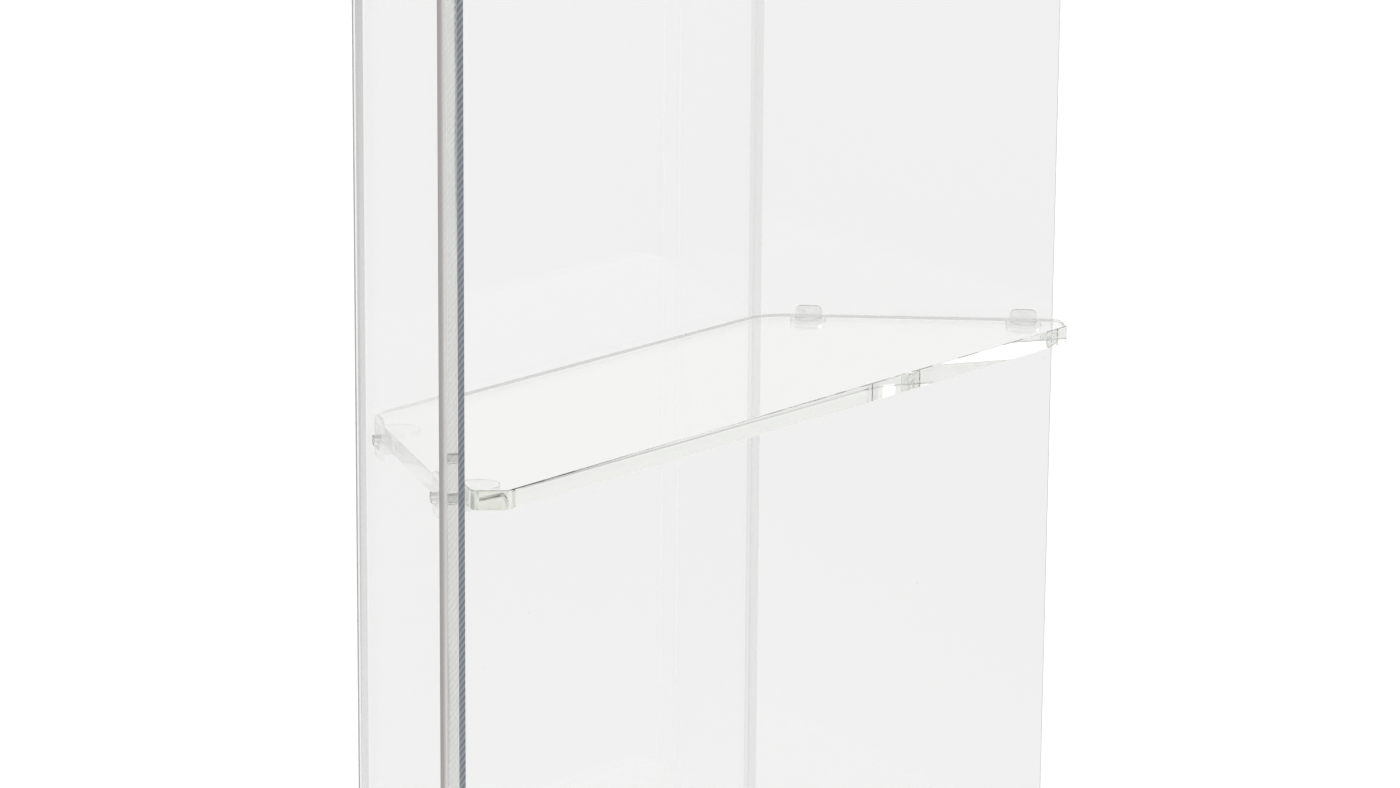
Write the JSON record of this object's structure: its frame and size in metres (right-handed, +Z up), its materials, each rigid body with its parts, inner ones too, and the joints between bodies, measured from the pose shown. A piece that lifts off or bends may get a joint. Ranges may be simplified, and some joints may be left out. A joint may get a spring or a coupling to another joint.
{
  "type": "clear acrylic display case with removable shelves",
  "caption": "Clear acrylic open-front display case with splayed sides and rounded trapezoid shelves lying on push-fit supports.",
  "frame": {"origin": "on the ground, under the middle of the overall box", "axes": "+X to the right seen from the open front, +Y to the back panel, +Z up"},
  "size_m": [0.5222, 0.1698, 0.915],
  "materials": {
    "clear_acrylic": "clear cast acrylic sheet, polished faces, sawn panel ends, faint green-yellow edges",
    "clear_moulding": "clear moulded polycarbonate, glossy",
    "clear_bumper": "clear soft bumper, slightly cloudy"
  },
  "bodies": {
    "case": {"back_panel": "clear_acrylic", "base_plate": "clear_acrylic", "foot_front_left": "clear_bumper", "foot_front_right": "clear_bumper", "foot_rear_left": "clear_bumper", "foot_rear_right": "clear_bumper", "left_panel": "clear_acrylic", "lower_support_front_left": "clear_moulding", "lower_support_front_right": "clear_moulding", "lower_support_rear_left": "clear_moulding", "lower_support_rear_right": "clear_moulding", "right_panel": "clear_acrylic", "top_plate": "clear_acrylic", "upper_support_front_left": "clear_moulding", "upper_support_front_right": "clear_moulding", "upper_support_rear_left": "clear_moulding", "upper_support_rear_right": "clear_moulding"},
    "lower_shelf_body": {"lower_shelf": "clear_acrylic"},
    "upper_shelf_body": {"upper_shelf": "clear_acrylic"}
  },
  "joints": [
    {"name": "lower_shelf_draw", "type": "slide", "parent": "case", "child": "lower_shelf_body", "axis": [0, -1, 0], "range_m": [0, 0.15]},
    {"name": "upper_shelf_draw", "type": "slide", "parent": "case", "child": "upper_shelf_body", "axis": [0, -1, 0], "range_m": [0, 0.15]}
  ]
}
